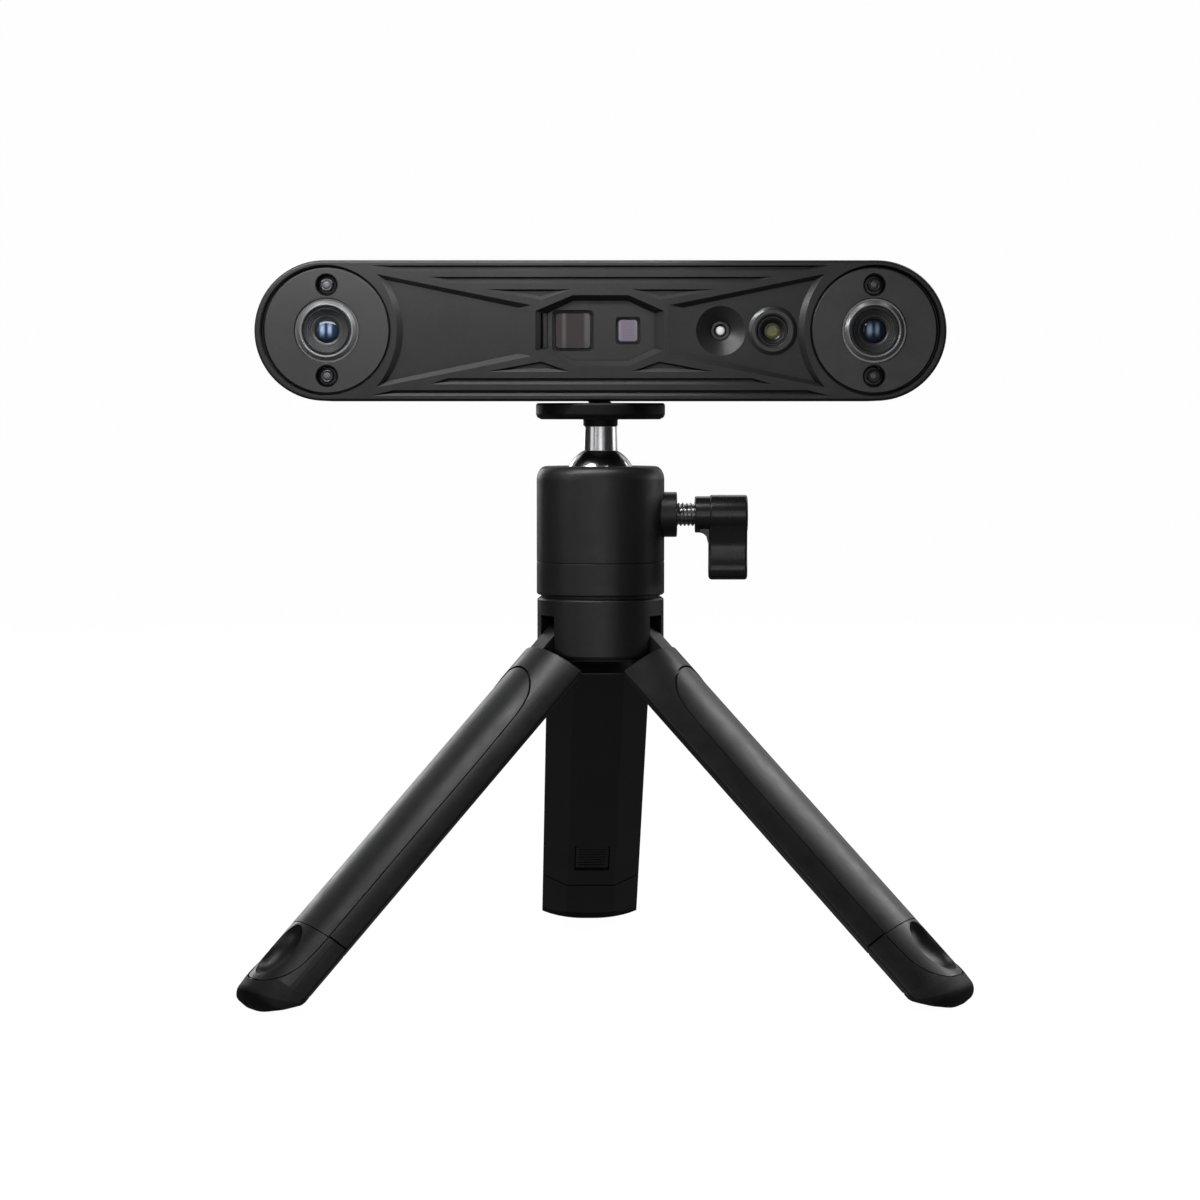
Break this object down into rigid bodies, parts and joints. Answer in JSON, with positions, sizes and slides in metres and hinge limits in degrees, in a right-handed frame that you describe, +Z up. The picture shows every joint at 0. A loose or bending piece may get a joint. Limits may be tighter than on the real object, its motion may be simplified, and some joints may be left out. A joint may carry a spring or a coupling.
{
  "type": "desktop 3d scanner",
  "caption": "Bar-shaped stereo structured-light scanner on a ball head over a pocket tripod with folding, extending legs.",
  "frame": {"origin": "middle of the bounding box in plan, on the surface that the three feet stand on", "axes": "+Z up; the scanner looks along -Y; +X is the side of the clamp knob"},
  "size_m": [0.1806, 0.1626, 0.1822],
  "materials": {
    "shell_black": "fine satin moulding",
    "disc_black": "satin",
    "bezel_black": "polished black",
    "barrel_black": "anti-reflection black",
    "lens_glass": "coated, blue reflection",
    "led_clear": "clear resin",
    "panel_black": "satin",
    "window_glass": "coated flat glass",
    "module_grey": "moulded",
    "led_yellow": "phosphor",
    "bench_alloy": "bead blasted",
    "steel": "turned",
    "screw_black": "black oxide",
    "board_green": "solder mask",
    "silicone": "soft",
    "brass": "turned",
    "button_grey": "satin",
    "chrome": "polished",
    "thread_steel": "cut thread",
    "head_black": "fine matte anodising",
    "pad_rubber": "soft",
    "nylon": "natural",
    "knob_black": "satin moulding",
    "hub_black": "satin moulding",
    "leg_black": "satin moulding",
    "inlay_black": "soft satin",
    "latch_black": "satin",
    "sole_rubber": "soft"
  },
  "bodies": {
    "tripod_hub": {"hub": "hub_black", "pivot_pins": "steel", "hub_bolt": "steel", "head_base": "head_black", "pan_screw": "steel"},
    "head": {"head_housing": "head_black", "ball_seat": "nylon"},
    "clamp": {"clamp_shoe": "nylon"},
    "knob": {"clamp_screw": "thread_steel", "clamp_knob": "knob_black"},
    "ball": {"ball": "chrome"},
    "stem": {"ball_stem": "chrome", "mount_plate": "head_black", "plate_pad": "pad_rubber", "camera_screw": "thread_steel"},
    "scanner": {"front_shell": "shell_black", "rear_shell": "shell_black", "shell_screws": "screw_black", "lens_discs": "disc_black", "lens_bezels": "bezel_black", "lens_barrels": "barrel_black", "lens_glasses": "lens_glass", "ir_leds": "led_clear", "window_panel": "panel_black", "projector_window": "window_glass", "sensor_window": "window_glass", "projector_module": "module_grey", "sensor_module": "module_grey", "rgb_camera": "barrel_black", "rgb_lens": "lens_glass", "flash_reflector": "bezel_black", "flash_led": "led_yellow", "optical_bench": "bench_alloy", "bench_screws": "steel", "camera_boards": "board_green", "main_board": "board_green", "heat_sink": "bench_alloy", "usb_c_socket": "steel", "control_boards": "board_green", "button_domes": "silicone", "indicator_light": "led_clear", "thread_insert": "brass"},
    "scan_key": {"scan_button": "button_grey"},
    "plus_key": {"plus_button": "button_grey"},
    "minus_key": {"minus_button": "button_grey"},
    "left_leg": {"left_leg": "leg_black", "left_leg_inlay": "inlay_black"},
    "left_foot": {"left_foot": "leg_black", "left_foot_sole": "sole_rubber"},
    "left_latch": {"left_leg_latch": "latch_black"},
    "right_leg": {"right_leg": "leg_black", "right_leg_inlay": "inlay_black"},
    "right_foot": {"right_foot": "leg_black", "right_foot_sole": "sole_rubber"},
    "right_latch": {"right_leg_latch": "latch_black"},
    "back_leg": {"back_leg": "leg_black", "back_leg_inlay": "inlay_black"},
    "back_foot": {"back_foot": "leg_black", "back_foot_sole": "sole_rubber"},
    "back_latch": {"back_leg_latch": "latch_black"}
  },
  "joints": [
    {"name": "head_pan", "type": "hinge", "parent": "tripod_hub", "child": "head", "pos_m": [-0.00142, -0.01998, 0.10616], "axis": [0, 0, 1], "continuous": true},
    {"name": "clamp_feed", "type": "slide", "parent": "head", "child": "clamp", "axis": [1, 0, 0], "range_m": [0, 0.001]},
    {"name": "knob_turn", "type": "hinge", "parent": "clamp", "child": "knob", "pos_m": [0.02858, -0.01998, 0.11821], "axis": [1, 0, 0], "range_deg": [0, 361]},
    {"name": "ball_nod", "type": "hinge", "parent": "head", "child": "ball", "pos_m": [-0.00142, -0.01998, 0.12646], "axis": [1, 0, 0], "range_deg": [-25, 25]},
    {"name": "ball_roll", "type": "hinge", "parent": "ball", "child": "stem", "pos_m": [-0.00142, -0.01998, 0.12646], "axis": [0, 1, 0], "range_deg": [-25, 25]},
    {"name": "scanner_turn", "type": "hinge", "parent": "stem", "child": "scanner", "pos_m": [-0.00142, -0.01998, 0.14946], "axis": [0, 0, 1], "continuous": true},
    {"name": "minus_press", "type": "slide", "parent": "scanner", "child": "minus_key", "axis": [0, -1, 0], "range_m": [0, 0.0005], "stiffness_N_per_m": 800, "springref_m": -0.0005},
    {"name": "scan_press", "type": "slide", "parent": "scanner", "child": "scan_key", "axis": [0, -1, 0], "range_m": [0, 0.0005], "stiffness_N_per_m": 800, "springref_m": -0.0005, "deforming": ["button_domes"]},
    {"name": "plus_press", "type": "slide", "parent": "scanner", "child": "plus_key", "axis": [0, -1, 0], "range_m": [0, 0.0005], "stiffness_N_per_m": 800, "springref_m": -0.0005},
    {"name": "left_leg_fold", "type": "hinge", "parent": "tripod_hub", "child": "left_leg", "pos_m": [-0.01075, -0.0258, 0.08633], "axis": [0.529, -0.8486, 0], "range_deg": [0, 45.93]},
    {"name": "left_leg_extend", "type": "slide", "parent": "left_leg", "child": "left_foot", "axis": [-0.6097, -0.3801, -0.6955], "range_m": [0, 0.036]},
    {"name": "left_latch_press", "type": "slide", "parent": "left_leg", "child": "left_latch", "axis": [-0.5902, -0.368, 0.7185], "range_m": [0, 0.0007], "stiffness_N_per_m": 800, "springref_m": -0.0005},
    {"name": "right_leg_fold", "type": "hinge", "parent": "tripod_hub", "child": "right_leg", "pos_m": [0.00829, -0.02515, 0.08633], "axis": [0.4704, 0.8825, 0], "range_deg": [0, 45.93]},
    {"name": "right_leg_extend", "type": "slide", "parent": "right_leg", "child": "right_foot", "axis": [0.634, -0.338, -0.6955], "range_m": [0, 0.036]},
    {"name": "right_latch_press", "type": "slide", "parent": "right_leg", "child": "right_latch", "axis": [0.6138, -0.3272, 0.7185], "range_m": [0, 0.0007], "stiffness_N_per_m": 800, "springref_m": -0.0005},
    {"name": "back_leg_fold", "type": "hinge", "parent": "tripod_hub", "child": "back_leg", "pos_m": [-0.00179, -0.00898, 0.08633], "axis": [-0.9994, -0.0339, 0], "range_deg": [0, 45.93]},
    {"name": "back_leg_extend", "type": "slide", "parent": "back_leg", "child": "back_foot", "axis": [-0.0243, 0.7181, -0.6955], "range_m": [0, 0.036]},
    {"name": "back_latch_press", "type": "slide", "parent": "back_leg", "child": "back_latch", "axis": [-0.0235, 0.6951, 0.7185], "range_m": [0, 0.0007], "stiffness_N_per_m": 800, "springref_m": -0.0005}
  ],
  "couplings": [
    {"joint": "knob_turn", "follows": "clamp_feed", "rad_per_m": 6283.2}
  ]
}
